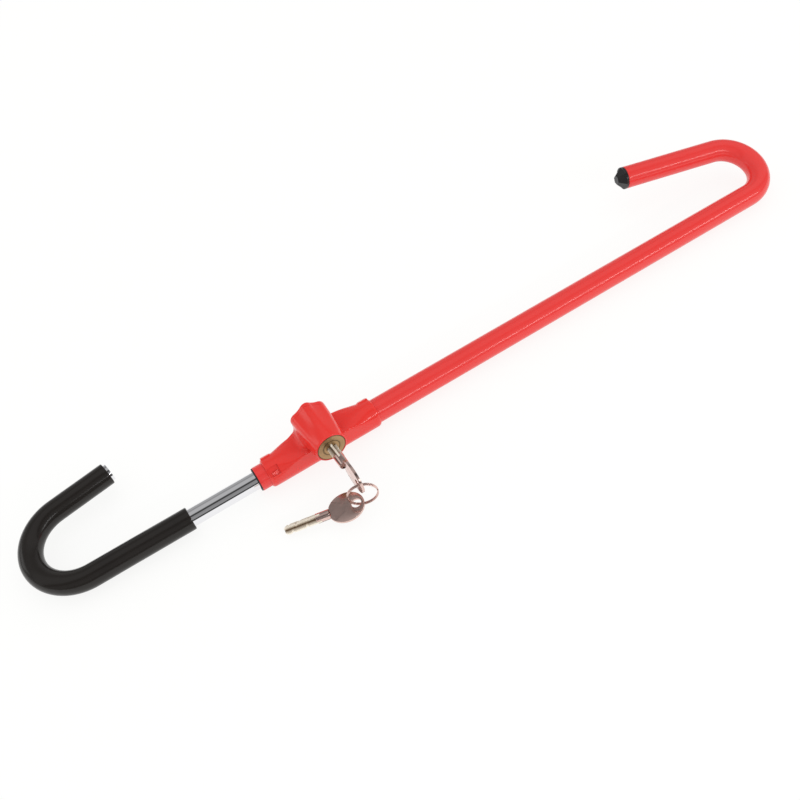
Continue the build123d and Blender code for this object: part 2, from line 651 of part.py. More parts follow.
with BuildPart() as rear_cover:
    cover_outside()
    cover_inside()
    split(bisect_by=Plane(origin=(0, SEAM_Y, 0), z_dir=(0, 1, 0)), keep=Keep.TOP)
    for low, high in TAB_X:
        with BuildSketch(across(low)):
            with Locations((SEAM_Y + TAB_T / 2, TAB_MIDDLE_Z + TAB_PROUD)):
                Rectangle(TAB_T, TAB_WIDTH)
            Circle(TUBE_R + 0.05, mode=Mode.SUBTRACT)
        extrude(amount=high - low)
save(rear_cover.part, "rear_cover")

with BuildPart() as cover_screws:
    with BuildSketch(facing(LOAF_BACK_Y + SCREW_PROUD, COVER_SCREW_Z)):
        with Locations((-COVER_SCREW_X, 0), (COVER_SCREW_X, 0)):
            Circle(SCREW_HEAD_R)
    extrude(amount=SCREW_HEAD_T)
    with BuildSketch(facing(LOAF_BACK_Y + SCREW_PROUD - SCREW_HEAD_T, COVER_SCREW_Z)):
        with Locations((-COVER_SCREW_X, 0), (COVER_SCREW_X, 0)):
            Circle(COVER_SCREW_R)
    extrude(amount=6.0)
    with BuildSketch(facing(LOAF_BACK_Y + SCREW_PROUD, COVER_SCREW_Z)):
        with Locations((-COVER_SCREW_X, 0), (COVER_SCREW_X, 0)):
            Rectangle(*SCREW_CROSS)
            Rectangle(*reversed(SCREW_CROSS))
    extrude(amount=SCREW_CROSS_DEPTH, mode=Mode.SUBTRACT)
save(cover_screws.part, "cover_screws")

# ---------------------------------------------------------------- keys and ring
COLLAR_ROUND = 0.65
with BuildPart() as key_shank:
    with BuildSketch(facing(KEY_TIP_Y)):
        Rectangle(2 * BLADE_HALF_SPAN, 2 * BLADE_HALF_T)
        Rectangle(2 * BLADE_HALF_T, 2 * BLADE_HALF_SPAN)
    extrude(amount=KEY_TIP_Y - COLLAR_Y[1])
    with BuildSketch(facing(COLLAR_Y[1])):
        Circle(COLLAR_R)
    extrude(amount=COLLAR_Y[1] - COLLAR_Y[0])
    rims = key_shank.edges().filter_by(GeomType.CIRCLE)
    collar_rims = rims.filter_by(lambda e: abs(e.radius - COLLAR_R) < 0.01)
    fillet(collar_rims.group_by(Axis.Y)[0], COLLAR_ROUND)
    with BuildSketch(facing(TONGUE_Y)):
        Rectangle(2 * BOW_HALF_T, 2 * TONGUE_HALF_Z)
    extrude(amount=TONGUE_Y - COLLAR_Y[0] + 1, mode=Mode.SUBTRACT)
save(key_shank.part, "key_shank")

with BuildPart() as key_bow:
    with BuildSketch(Plane(origin=(-BOW_HALF_T, 0, BARREL_Z), x_dir=(0, 1, 0), z_dir=(1, 0, 0))):
        with Locations((BOW_CENTRE_Y, 0)):
            Ellipse(BOW_HALF_LENGTH, BOW_HALF_WIDTH)
        with Locations((COLLAR_Y[0] + BOW_HALF_LENGTH, 0)):
            Rectangle(2 * BOW_HALF_LENGTH, 2 * BOW_HALF_WIDTH, mode=Mode.SUBTRACT)
        with Locations((TONGUE_Y - TONGUE_LENGTH / 2, 0)):
            Rectangle(TONGUE_LENGTH, 2 * TONGUE_HALF_Z)
        with Locations((KEY_HOLE_Y, 0)):
            Circle(BOW_HOLE_R, mode=Mode.SUBTRACT)
    extrude(amount=2 * BOW_HALF_T)
save(key_bow.part, "key_bow")

# The spare key is the same two pieces, turned about the middle of its own ring hole
spare_axis = (SPARE_TIP - SPARE_HOLE).normalized()
spare_side = Vector(0, 0, 1).cross(spare_axis).normalized()
spare_normal = spare_axis.cross(spare_side)
spare_plane = Plane(origin=SPARE_HOLE, x_dir=spare_normal, z_dir=spare_normal.cross(spare_axis))
spare_place = spare_plane.location * Location((0, -KEY_HOLE_Y, -BARREL_Z))

with BuildPart() as spare_key_shank:
    with Locations(spare_place):
        add(key_shank.part)
save(spare_key_shank.part, "spare_key_shank")

with BuildPart() as spare_key_bow:
    with Locations(spare_place):
        add(key_bow.part)
save(spare_key_bow.part, "spare_key_bow")

ring_normal = RING_DIRECTION.cross(Vector(0, 0, 1)).normalized()
with BuildPart() as split_ring:
    with BuildSketch(Plane(origin=RING_CENTRE, x_dir=(0, 0, 1), z_dir=RING_DIRECTION)):
        with Locations((RING_R, 0)):
            Ellipse(RING_WIRE_R, 1.5 * RING_WIRE_R)
    revolve(axis=Axis(RING_CENTRE, ring_normal))
save(split_ring.part, "split_ring")
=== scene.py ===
import math

import bmesh
import bpy
from mathutils import Matrix, Vector


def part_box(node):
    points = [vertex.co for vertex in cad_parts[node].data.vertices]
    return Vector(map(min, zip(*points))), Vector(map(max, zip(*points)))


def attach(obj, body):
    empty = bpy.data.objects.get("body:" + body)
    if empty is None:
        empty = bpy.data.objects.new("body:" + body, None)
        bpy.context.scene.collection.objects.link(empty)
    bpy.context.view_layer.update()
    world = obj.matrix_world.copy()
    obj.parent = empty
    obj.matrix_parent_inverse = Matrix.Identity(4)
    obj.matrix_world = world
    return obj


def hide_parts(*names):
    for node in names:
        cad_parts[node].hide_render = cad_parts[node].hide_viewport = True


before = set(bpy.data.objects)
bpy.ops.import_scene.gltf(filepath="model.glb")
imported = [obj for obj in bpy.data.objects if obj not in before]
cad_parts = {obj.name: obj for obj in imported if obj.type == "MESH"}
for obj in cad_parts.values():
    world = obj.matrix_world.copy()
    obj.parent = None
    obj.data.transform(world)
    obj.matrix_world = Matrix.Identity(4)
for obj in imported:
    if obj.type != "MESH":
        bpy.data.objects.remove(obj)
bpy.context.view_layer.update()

# ---------------------------------------------------------------- studio
# The lock lies on a white table in a light tent. Matt surfaces see an even tent, and polished ones see pale
# and dark panels round it, so the plated rod shows bands. A long strip and a soft panel light the red coat.
CAMERA_PLACE = Vector((-0.0800, -0.3606, 0.4404))
CAMERA_RIGHT = Vector((0.8400, -0.5176, -0.1628))
CAMERA_UP = Vector((0.4875, 0.5881, 0.6454))
CAMERA_LENS_MM = 40.33
CAMERA_SENSOR_MM = 36.0
CAMERA_NEAR = 0.01
TABLE_REACH = 6.0
TABLE_GREY = 0.14
TABLE_GLOW = 0.86
TENT_LEVEL = 1.0
# Places round the tent, from the back over the top to the front as 0 to 1, and how pale the tent is at each
TENT_PANELS = (
    (0.0, 0.42), (0.18, 0.40), (0.24, 0.22), (0.31, 0.22), (0.36, 0.48), (0.54, 0.48), (0.60, 0.05),
    (0.67, 0.05), (0.70, 0.26), (0.88, 0.30), (0.91, 0.06), (0.985, 0.06), (1.0, 0.75),
)
FRONT_STRIP = {"place": (0.55, -0.82, 0.40), "aim": (0.12, 0.0, 0.0), "size": (1.05, 0.05), "power": 1.9}
LEFT_PANEL = {"place": (-1.3, 0.95, 0.62), "aim": (0.0, 0.0, 0.0), "size": (0.7, 0.5), "power": 0.8}


def node(tree, kind, **values):
    made = tree.nodes.new(kind)
    for key, value in values.items():
        setattr(made, key, value)
    return made


def studio_camera():
    data = bpy.data.cameras.new("studio_camera")
    data.lens = CAMERA_LENS_MM
    data.sensor_width = CAMERA_SENSOR_MM
    data.clip_start = CAMERA_NEAR
    camera = bpy.data.objects.new("studio_camera", data)
    right = CAMERA_RIGHT.normalized()
    back = right.cross(CAMERA_UP).normalized()
    up = back.cross(right)
    turn = Matrix((right, up, back)).transposed().to_4x4()
    camera.matrix_world = Matrix.Translation(CAMERA_PLACE) @ turn
    bpy.context.scene.collection.objects.link(camera)
    bpy.context.scene.camera = camera


def softbox(name, place, aim, size, power):
    """A rectangular lamp whose long side lies level."""
    data = bpy.data.lights.new(name, "AREA")
    data.shape = "RECTANGLE"
    data.size, data.size_y = size
    data.energy = power
    lamp = bpy.data.objects.new(name, data)
    heading = (Vector(aim) - Vector(place)).normalized()
    upward = Vector((1, 0, 0)).cross(heading).normalized()
    turn = Matrix((upward.cross(-heading), upward, -heading)).transposed().to_4x4()
    lamp.matrix_world = Matrix.Translation(Vector(place)) @ turn
    bpy.context.scene.collection.objects.link(lamp)


def tone_ramp(tree, tones):
    """A colour ramp of greys, given as places from 0 to 1 and the level at each."""
    ramp = node(tree, "ShaderNodeValToRGB")
    stops = ramp.color_ramp.elements
    for at, level in tones[1:-1]:
        stops.new(at)
    for stop, (at, level) in zip(stops, tones):
        stop.position = at
        stop.color = (level, level, level, 1)
    return ramp


def tent():
    world = bpy.data.worlds.new("tent")
    world.use_nodes = True
    tree = world.node_tree
    tree.nodes.clear()
    way = node(tree, "ShaderNodeTexCoord")
    split = node(tree, "ShaderNodeSeparateXYZ")
    height = node(tree, "ShaderNodeMath", operation="ARCTAN2")
    share = node(tree, "ShaderNodeMath", operation="DIVIDE")
    share.inputs[1].default_value = math.pi
    panels = tone_ramp(tree, TENT_PANELS)
    ray = node(tree, "ShaderNodeLightPath")
    mix = node(tree, "ShaderNodeMix", data_type="RGBA")
    mix.inputs["A"].default_value = (TENT_LEVEL, TENT_LEVEL, TENT_LEVEL, 1)
    sky = node(tree, "ShaderNodeBackground")
    out = node(tree, "ShaderNodeOutputWorld")
    tree.links.new(way.outputs["Generated"], split.inputs[0])
    tree.links.new(split.outputs["Z"], height.inputs[0])
    tree.links.new(split.outputs["Y"], height.inputs[1])
    tree.links.new(height.outputs[0], share.inputs[0])
    tree.links.new(share.outputs[0], panels.inputs["Fac"])
    tree.links.new(panels.outputs["Color"], mix.inputs["B"])
    tree.links.new(ray.outputs["Is Glossy Ray"], mix.inputs["Factor"])
    tree.links.new(mix.outputs["Result"], sky.inputs["Color"])
    tree.links.new(sky.outputs["Background"], out.inputs["Surface"])
    bpy.context.scene.world = world


def table():
    mesh = bpy.data.meshes.new("table")
    reach = TABLE_REACH
    corners = [(-reach, -reach, 0), (reach, -reach, 0), (reach, reach, 0), (-reach, reach, 0)]
    mesh.from_pydata(corners, [], [(0, 1, 2, 3)])
    sheet = bpy.data.objects.new("table", mesh)
    bpy.context.scene.collection.objects.link(sheet)
    paper = bpy.data.materials.new("white_paper")
    paper.use_nodes = True
    shader = paper.node_tree.nodes["Principled BSDF"]
    shader.inputs["Base Color"].default_value = (TABLE_GREY, TABLE_GREY, TABLE_GREY, 1)
    shader.inputs["Roughness"].default_value = 0.9
    shader.inputs["Specular IOR Level"].default_value = 0.0
    shader.inputs["Emission Color"].default_value = (1, 1, 0.99, 1)
    shader.inputs["Emission Strength"].default_value = TABLE_GLOW
    mesh.materials.append(paper)


studio_camera()
tent()
table()
softbox("front_strip", **FRONT_STRIP)
softbox("left_panel", **LEFT_PANEL)
bpy.context.scene.view_settings.view_transform = "Standard"

# ---------------------------------------------------------------- outer tube
# Cold drawn steel tube, bent into a hook at its far end and powder coated in gloss red. The coat has a faint
# peel. The other end is sawn square, eased and left open for the rod. All sizes from here on are in
# millimetres, and MM takes them to metres.
MM = 0.001
TUBE_Z = 10.0
TUBE_R = 8.0
TUBE_WALL = 1.5
TUBE_MOUTH_X = -46.0
TUBE_BEND_X = 359.4
TUBE_HOOK = {"radius": 22.97, "turn": 167.0, "arm": 72.1, "tilt": 17.0}
TUBE_EASE = 0.5
BEND_STEPS = 60
SWEPT_SIDES = 80
SWEPT_STEP = 2.0
SHARP_ANGLE = math.radians(38)
MERGE_DISTANCE = 1e-6
RED = (0.765, 0.044, 0.040)
RED_DEEP = (0.74, 0.039, 0.035)


def hook_line(start, bend, heading, radius, turn, arm, tilt):
    """Points along a run, bend and arm, in metres: heading is +1 or -1 along X, tilt lifts the hook."""
    flat = [(start, 0.0), (bend, 0.0)]
    for step in range(1, BEND_STEPS + 1):
        angle = math.radians(turn * step / BEND_STEPS)
        flat.append((bend + radius * math.sin(angle), radius * (1 - math.cos(angle))))
    end = math.radians(turn)
    flat.append((flat[-1][0] + arm * math.cos(end), flat[-1][1] + arm * math.sin(end)))
    out, up = math.cos(math.radians(tilt)), math.sin(math.radians(tilt))
    return [Vector((heading * u, out * v, TUBE_Z + up * v)) * MM for u, v in flat]


def swept_bar_tree():
    """Geometry nodes: a round bar or tube wall swept along the object's own line, with a slight ripple."""
    tree = bpy.data.node_groups.new("swept_bar", "GeometryNodeTree")
    for label, kind, default in (
        ("Geometry", "NodeSocketGeometry", None),
        ("Radius", "NodeSocketFloat", 0.008),
        ("Sides", "NodeSocketInt", 72),
        ("Step", "NodeSocketFloat", 0.002),
        ("Ripple", "NodeSocketFloat", 0.0),
        ("Ripple Scale", "NodeSocketFloat", 60.0),
        ("Closed Ends", "NodeSocketBool", False),
        ("Finish", "NodeSocketMaterial", None),
    ):
        socket = tree.interface.new_socket(label, in_out="INPUT", socket_type=kind)
        if default is not None:
            socket.default_value = default
    tree.interface.new_socket("Geometry", in_out="OUTPUT", socket_type="NodeSocketGeometry")
    given, result = node(tree, "NodeGroupInput"), node(tree, "NodeGroupOutput")
    line = node(tree, "GeometryNodeMeshToCurve")
    walk = node(tree, "GeometryNodeResampleCurve", mode="LENGTH")
    ring = node(tree, "GeometryNodeCurvePrimitiveCircle", mode="RADIUS")
    sweep = node(tree, "GeometryNodeCurveToMesh")
    place = node(tree, "GeometryNodeInputPosition")
    noise = node(tree, "ShaderNodeTexNoise")
    noise.inputs["Detail"].default_value = 1.0
    centre = node(tree, "ShaderNodeMath", operation="SUBTRACT")
    centre.inputs[1].default_value = 0.5
    depth = node(tree, "ShaderNodeMath", operation="MULTIPLY")
    normal = node(tree, "GeometryNodeInputNormal")
    push = node(tree, "ShaderNodeVectorMath", operation="SCALE")
    move = node(tree, "GeometryNodeSetPosition")
    real = node(tree, "GeometryNodeRealizeInstances")
    paint = node(tree, "GeometryNodeSetMaterial")
    link = tree.links.new
    link(given.outputs["Geometry"], line.inputs["Mesh"])
    link(line.outputs["Curve"], walk.inputs["Curve"])
    link(given.outputs["Step"], walk.inputs["Length"])
    link(given.outputs["Radius"], ring.inputs["Radius"])
    link(given.outputs["Sides"], ring.inputs["Resolution"])
    link(walk.outputs["Curve"], sweep.inputs["Curve"])
    link(ring.outputs["Curve"], sweep.inputs["Profile Curve"])
    link(given.outputs["Closed Ends"], sweep.inputs["Fill Caps"])
    link(place.outputs["Position"], noise.inputs["Vector"])
    link(given.outputs["Ripple Scale"], noise.inputs["Scale"])
    link(noise.outputs["Fac"], centre.inputs[0])
    link(centre.outputs[0], depth.inputs[0])
    link(given.outputs["Ripple"], depth.inputs[1])
    link(normal.outputs["Normal"], push.inputs[0])
    link(depth.outputs[0], push.inputs["Scale"])
    link(sweep.outputs["Mesh"], move.inputs["Geometry"])
    link(push.outputs["Vector"], move.inputs["Offset"])
    link(move.outputs["Geometry"], real.inputs["Geometry"])
    link(real.outputs["Geometry"], paint.inputs["Geometry"])
    link(given.outputs["Finish"], paint.inputs["Material"])
    link(paint.outputs["Geometry"], result.inputs["Geometry"])
    return tree


def grown(name, tree, line, **inputs):
    """A plain mesh from a geometry nodes tree, given the line it follows and the tree's inputs by name."""
    mesh = bpy.data.meshes.new(name + "_base")
    mesh.from_pydata(line, [(i, i + 1) for i in range(len(line) - 1)], [])
    base = bpy.data.objects.new(name + "_base", mesh)
    bpy.context.scene.collection.objects.link(base)
    grow = base.modifiers.new("grow", "NODES")
    grow.node_group = tree
    listed = tree.interface.items_tree
    sockets = {item.name: item.identifier for item in listed if item.in_out == "INPUT"}
    for label, value in inputs.items():
        grow[sockets[label.replace("_", " ")]] = value
    graph = bpy.context.evaluated_depsgraph_get()
    result = bpy.data.meshes.new_from_object(base.evaluated_get(graph))
    bpy.data.objects.remove(base)
    return result


def settle(bm, name, material, sharp=SHARP_ANGLE):
    """Turn a bmesh into a finished object: doubles merged, faces outwards, corners sharp."""
    bmesh.ops.remove_doubles(bm, verts=bm.verts, dist=MERGE_DISTANCE)
    bmesh.ops.recalc_face_normals(bm, faces=bm.faces)
    for face in bm.faces:
        face.smooth = True
        face.material_index = 0
    for edge in bm.edges:
        edge.smooth = len(edge.link_faces) == 2 and edge.calc_face_angle(0) < sharp
    mesh = bpy.data.meshes.new(name)
    bm.to_mesh(mesh)
    bm.free()
    mesh.materials.append(material)
    made = bpy.data.objects.new(name, mesh)
    bpy.context.scene.collection.objects.link(made)
    return made


def frozen(subject):
    """Replace an object's mesh with what its modifiers make of it."""
    graph = bpy.context.evaluated_depsgraph_get()
    mesh = bpy.data.meshes.new_from_object(subject.evaluated_get(graph))
    old = subject.data
    subject.modifiers.clear()
    subject.data = mesh
    bpy.data.meshes.remove(old)


def tube_along(name, line, radius, wall, ease_width, material, ripple=0.0):
    """A tube with a wall and eased ends along a line, sizes in millimetres."""
    mesh = grown(name, SWEPT_BAR, line, Radius=radius * MM, Step=SWEPT_STEP * MM, Sides=SWEPT_SIDES,
                 Ripple=ripple * MM, Finish=material)
    bm = bmesh.new()
    bm.from_mesh(mesh)
    bpy.data.meshes.remove(mesh)
    made = settle(bm, name, material)
    thick = made.modifiers.new("wall", "SOLIDIFY")
    thick.thickness = wall * MM
    thick.offset = -1.0
    ease = made.modifiers.new("eased_ends", "BEVEL")
    ease.width = ease_width * MM
    ease.segments = 4
    ease.limit_method = "ANGLE"
    ease.angle_limit = math.radians(50)
    frozen(made)
    bm = bmesh.new()
    bm.from_mesh(made.data)
    bpy.data.objects.remove(made)
    return settle(bm, name, material)


def put(piece, body, slot, *nodes):
    """Hand a finished piece to the frame."""
    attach(piece, body)
    if nodes:
        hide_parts(*nodes)


def effect_group(name, inputs, outputs):
    """A shader node group with its sockets, and its two end nodes."""
    group = bpy.data.node_groups.new(name, "ShaderNodeTree")
    for label, kind, default in inputs:
        socket = group.interface.new_socket(label, in_out="INPUT", socket_type=kind)
        socket.default_value = default
    for label, kind in outputs:
        group.interface.new_socket(label, in_out="OUTPUT", socket_type=kind)
    return group, node(group, "NodeGroupInput"), node(group, "NodeGroupOutput")


def mottle_group():
    """Soft patches of a second colour, and smudges in the roughness."""
    group, given, result = effect_group(
        "mottle",
        [
            ("Colour", "NodeSocketColor", (0.5, 0.5, 0.5, 1)),
            ("Second Colour", "NodeSocketColor", (0.4, 0.4, 0.4, 1)),
            ("Patch Scale", "NodeSocketFloat", 60.0),
            ("Roughness", "NodeSocketFloat", 0.3),
            ("Roughness Spread", "NodeSocketFloat", 0.08),
            ("Smudge Scale", "NodeSocketFloat", 140.0),
        ],
        [("Colour", "NodeSocketColor"), ("Roughness", "NodeSocketFloat")],
    )
    link = group.links.new
    place = node(group, "ShaderNodeTexCoord")
    patch = node(group, "ShaderNodeTexNoise")
    patch.inputs["Detail"].default_value = 3.0
    smudge = node(group, "ShaderNodeTexNoise")
    smudge.inputs["Detail"].default_value = 4.0
    smudge.inputs["Roughness"].default_value = 0.65
    mix = node(group, "ShaderNodeMix", data_type="RGBA")
    spread = node(group, "ShaderNodeMapRange")
    low = node(group, "ShaderNodeMath", operation="SUBTRACT")
    high = node(group, "ShaderNodeMath", operation="ADD")
    link(place.outputs["Object"], patch.inputs["Vector"])
    link(place.outputs["Object"], smudge.inputs["Vector"])
    link(given.outputs["Patch Scale"], patch.inputs["Scale"])
    link(given.outputs["Smudge Scale"], smudge.inputs["Scale"])
    link(patch.outputs["Fac"], mix.inputs["Factor"])
    link(given.outputs["Colour"], mix.inputs["A"])
    link(given.outputs["Second Colour"], mix.inputs["B"])
    for maths in (low, high):
        link(given.outputs["Roughness"], maths.inputs[0])
        link(given.outputs["Roughness Spread"], maths.inputs[1])
    link(smudge.outputs["Fac"], spread.inputs["Value"])
    spread.inputs["From Min"].default_value = 0.3
    spread.inputs["From Max"].default_value = 0.7
    link(low.outputs[0], spread.inputs["To Min"])
    link(high.outputs[0], spread.inputs["To Max"])
    link(mix.outputs["Result"], result.inputs["Colour"])
    link(spread.outputs["Result"], result.inputs["Roughness"])
    return group


def relief_group():
    """A fine grain in the normal, stretched along any axis."""
    group, given, result = effect_group(
        "relief",
        [
            ("Scale", "NodeSocketFloat", 900.0),
            ("Stretch", "NodeSocketVector", (1, 1, 1)),
            ("Depth", "NodeSocketFloat", 0.00002),
        ],
        [("Normal", "NodeSocketVector")],
    )
    link = group.links.new
    place = node(group, "ShaderNodeTexCoord")
    stretch = node(group, "ShaderNodeVectorMath", operation="MULTIPLY")
    grain = node(group, "ShaderNodeTexNoise")
    grain.inputs["Detail"].default_value = 2.0
    bump = node(group, "ShaderNodeBump")
    bump.inputs["Strength"].default_value = 1.0
    link(place.outputs["Object"], stretch.inputs[0])
    link(given.outputs["Stretch"], stretch.inputs[1])
    link(stretch.outputs[0], grain.inputs["Vector"])
    link(given.outputs["Scale"], grain.inputs["Scale"])
    link(grain.outputs["Fac"], bump.inputs["Height"])
    link(given.outputs["Depth"], bump.inputs["Distance"])
    link(bump.outputs["Normal"], result.inputs["Normal"])
    return group


def finish(name, colour, second, roughness, spread, patch=60.0, smudge=140.0, grain=900.0,
           stretch=(1, 1, 1), depth=0.00002, metallic=0.0, ior=1.5):
    """A material with the mottle and the relief in it, and its constant values on the shader itself."""
    made = bpy.data.materials.new(name)
    made.use_nodes = True
    tree = made.node_tree
    shader = tree.nodes["Principled BSDF"]
    shader.inputs["Metallic"].default_value = metallic
    shader.inputs["IOR"].default_value = ior
    mottle = node(tree, "ShaderNodeGroup", node_tree=MOTTLE)
    mottle.inputs["Colour"].default_value = (*colour, 1)
    mottle.inputs["Second Colour"].default_value = (*second, 1)
    mottle.inputs["Patch Scale"].default_value = patch
    mottle.inputs["Roughness"].default_value = roughness
    mottle.inputs["Roughness Spread"].default_value = spread
    mottle.inputs["Smudge Scale"].default_value = smudge
    relief = node(tree, "ShaderNodeGroup", node_tree=RELIEF)
    relief.inputs["Scale"].default_value = grain
    relief.inputs["Stretch"].default_value = stretch
    relief.inputs["Depth"].default_value = depth
    tree.links.new(mottle.outputs["Colour"], shader.inputs["Base Color"])
    tree.links.new(mottle.outputs["Roughness"], shader.inputs["Roughness"])
    tree.links.new(relief.outputs["Normal"], shader.inputs["Normal"])
    return made


SWEPT_BAR = swept_bar_tree()
MOTTLE = mottle_group()
RELIEF = relief_group()

red_coat = finish("red_powder_coat", RED, RED_DEEP, 0.20, 0.03, patch=30, grain=420, depth=0.000035)
tube_line = hook_line(TUBE_MOUTH_X, TUBE_BEND_X, 1, **TUBE_HOOK)
outer_tube = tube_along("outer_tube_coated", tube_line, TUBE_R, TUBE_WALL, TUBE_EASE, red_coat)
put(outer_tube, "tube", "red_paint", "outer_tube")

# ---------------------------------------------------------------- tube's end cap and guide bush
# A black moulded cap with flat facets plugs the end of the tube's hook on its spigot. A dark low-friction
# bush is pressed into the tube's mouth and guides the rod.
cap_black = finish("cap_black", (0.010, 0.010, 0.011), (0.018, 0.017, 0.017), 0.30, 0.06, grain=1800)
bush_black = finish("bush_black", (0.012, 0.012, 0.014), (0.022, 0.021, 0.022), 0.50, 0.08)


def dress(name, material):
    """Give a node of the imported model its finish."""
    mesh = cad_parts[name].data
    mesh.materials.clear()
    mesh.materials.append(material)


dress("hook_end_cap", cap_black)
dress("mouth_bush", bush_black)

# ---------------------------------------------------------------- slide rod
# Ground steel bar with a row of turned locking notches, bent into the smaller hook and chromed bright.
# Grinding along the bar leaves a very fine lengthwise grain under the chrome.
chrome = finish("bright_chrome", (0.88, 0.88, 0.90), (0.84, 0.84, 0.87), 0.045, 0.015, grain=700,
                stretch=(0.04, 1, 1), depth=0.000003, metallic=1.0)
dress("slide_rod", chrome)

# ---------------------------------------------------------------- hook sleeve
# Thick black vinyl on the rod's hook, to spare the wheel or pedal it holds. The hook is dipped and the coat
# cured on it, so it is glossy and slightly uneven, with eased ends.
SLEEVE_R = 7.4
SLEEVE_WALL = 1.55
SLEEVE_EASE = 0.7
SLEEVE_RIPPLE = 0.12
SLEEVE_START = 91.7
ROD_BEND = 156.2
ROD_HOOK = {"radius": 28.64, "turn": 170.8, "arm": 38.3, "tilt": 4.3}
vinyl = finish("dipped_vinyl", (0.013, 0.011, 0.010), (0.019, 0.016, 0.014), 0.19, 0.04, patch=45,
               grain=130, depth=0.00010, ior=1.38)
sleeve_line = hook_line(SLEEVE_START, ROD_BEND, -1, **ROD_HOOK)
hook_sleeve = tube_along("hook_sleeve_dipped", sleeve_line, SLEEVE_R, SLEEVE_WALL, SLEEVE_EASE, vinyl,
                         SLEEVE_RIPPLE)
put(hook_sleeve, "rod", "black_vinyl", "hook_sleeve")

# ---------------------------------------------------------------- steel inside
# The lock block, bolt, cam, stops and screws are cut or turned from steel and zinc plated, and the springs
# are coiled from drawn wire. The tube and the housing hide nearly all of them.
zinc = finish("zinc_plate", (0.55, 0.56, 0.58), (0.48, 0.49, 0.50), 0.36, 0.08, metallic=1.0, depth=0.000008)
for piece in ("rod_stop_ring", "lock_block", "weld_beads", "spring_cap_screw", "cylinder_grub_screw",
              "cover_screws", "rod_stop_collar", "rod_stop_pin", "plug_cam", "cam_screw", "locking_bolt"):
    dress(piece, zinc)
wire_steel = finish("drawn_wire", (0.42, 0.43, 0.45), (0.36, 0.37, 0.39), 0.30, 0.06, metallic=1.0)
for piece in ("bolt_spring", "pin_springs"):
    dress(piece, wire_steel)

# ---------------------------------------------------------------- lock cylinder
# Shell, plug and pins are turned from brass, and a screw pins the shell in the lock block. The face keeps its
# fine turning marks, and painted shade darkens thin rings in the joint round the plug and at the flange's
# rim.
BARREL_Z = (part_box("cylinder_shell")[0].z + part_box("cylinder_shell")[1].z) / 2
TURNING_PITCH = 0.32
TURNING_DEPTH = 0.012
JOINT_SHADE_REACH = 10.0
# Brightness of the face by distance from the axis, as a share of the reach above; the dark rings are painted
# shade in the joint round the plug and at the flange's rim
JOINT_SHADE_RINGS = ((0.0, 1.0), (0.48, 1.0), (0.53, 0.45), (0.57, 0.45), (0.61, 0.92), (0.86, 1.0), (0.92, 0.35),
           (1.0, 0.3))


def turned_brass():
    """Brass with turning marks, and painted shade in rings round the barrel's axis."""
    made = finish("turned_brass", (0.49, 0.32, 0.165), (0.40, 0.25, 0.125), 0.40, 0.08, patch=220,
                  depth=0.000004, metallic=1.0)
    tree = made.node_tree
    place = node(tree, "ShaderNodeTexCoord")
    centre = node(tree, "ShaderNodeMapping")
    centre.inputs["Location"].default_value = (0, 0, -BARREL_Z)
    centre.inputs["Scale"].default_value = (1, 0, 1)
    reach = node(tree, "ShaderNodeVectorMath", operation="LENGTH")
    turns = node(tree, "ShaderNodeMath", operation="MULTIPLY")
    turns.inputs[1].default_value = 2 * math.pi / (TURNING_PITCH * MM)
    wave = node(tree, "ShaderNodeMath", operation="SINE")
    bump = node(tree, "ShaderNodeBump")
    bump.inputs["Distance"].default_value = TURNING_DEPTH * MM
    # Painted shade: the face is darkened in rings at the plug's joint and at the flange's rim
    joint_shade = tone_ramp(tree, JOINT_SHADE_RINGS)
    share = node(tree, "ShaderNodeMath", operation="DIVIDE")
    share.inputs[1].default_value = JOINT_SHADE_REACH * MM
    shade = node(tree, "ShaderNodeMix", data_type="RGBA", blend_type="MULTIPLY")
    shade.inputs["Factor"].default_value = 1.0
    shader = tree.nodes["Principled BSDF"]
    link = tree.links.new
    link(place.outputs["Object"], centre.inputs["Vector"])
    link(centre.outputs["Vector"], reach.inputs[0])
    link(reach.outputs["Value"], share.inputs[0])
    link(share.outputs[0], joint_shade.inputs["Fac"])
    link(shader.inputs["Base Color"].links[0].from_socket, shade.inputs["A"])
    link(joint_shade.outputs["Color"], shade.inputs["B"])
    link(shade.outputs["Result"], shader.inputs["Base Color"])
    link(reach.outputs["Value"], turns.inputs[0])
    link(turns.outputs[0], wave.inputs[0])
    link(wave.outputs[0], bump.inputs["Height"])
    link(bump.outputs["Normal"], shader.inputs["Normal"])
    return made


brass = turned_brass()
for piece in ("cylinder_shell", "cylinder_plug", "key_pins", "driver_pins"):
    dress(piece, brass)

# ---------------------------------------------------------------- housing
# Two glossy moulded halves that snap together round the tube and the lock block, with two screws at the rear.
# They are shaped as one body, a pair of wings along the tube and a fluted loaf over the barrel, then
# hollowed and cut at the seam.
HALF_TURN_STEPS = 96
WING_R = 9.6
WING_ENDS = (-39.6, 39.4)
WING_TOP = 9.1
WING_FLAT_TO = 12.0
WING_ROUND_FROM = 33.5
WING_ROWS = 80
WING_END_INSET = {0: 0.9, 1: 0.25, WING_ROWS - 1: 0.25, WING_ROWS: 0.9}
CROWN = 0.25
PAD_HALF_Y = 3.5
FACE_Y = -21.5
RIM_R = 10.5
LOAF_BACK_Y = 9.5
LOAF_BACK_EASE = 0.8
LOAF_BACK_LIP = 0.25
LOAF_STEPS = 30
LOAF_TAPER = 1.5
NOSE_Y = -7.0
NOSE_OVERLAP = 0.01
NOSE_UNDERCUT = -0.45
NOSE_UNDER_R = 10.8
FLARE_Y = (0.0, -9.0)
FLARE_FROM = 13.6
TAB_X = ((-38.6, -32.0), (32.0, 38.6))
TAB_Y = 6.1
TAB_LIFT = 7.25
TAB_LENGTH = 4.8
TAB_THICKNESS = 2.2
TAB_LEAN = math.radians(-40)
WINDOW_X = -35.4
WINDOW_LIFT = 46.8
WINDOW_SIZE = (7.0, 1.9, 6.2)
LATCH_SIZE = (4.0, 1.4, 2.4)
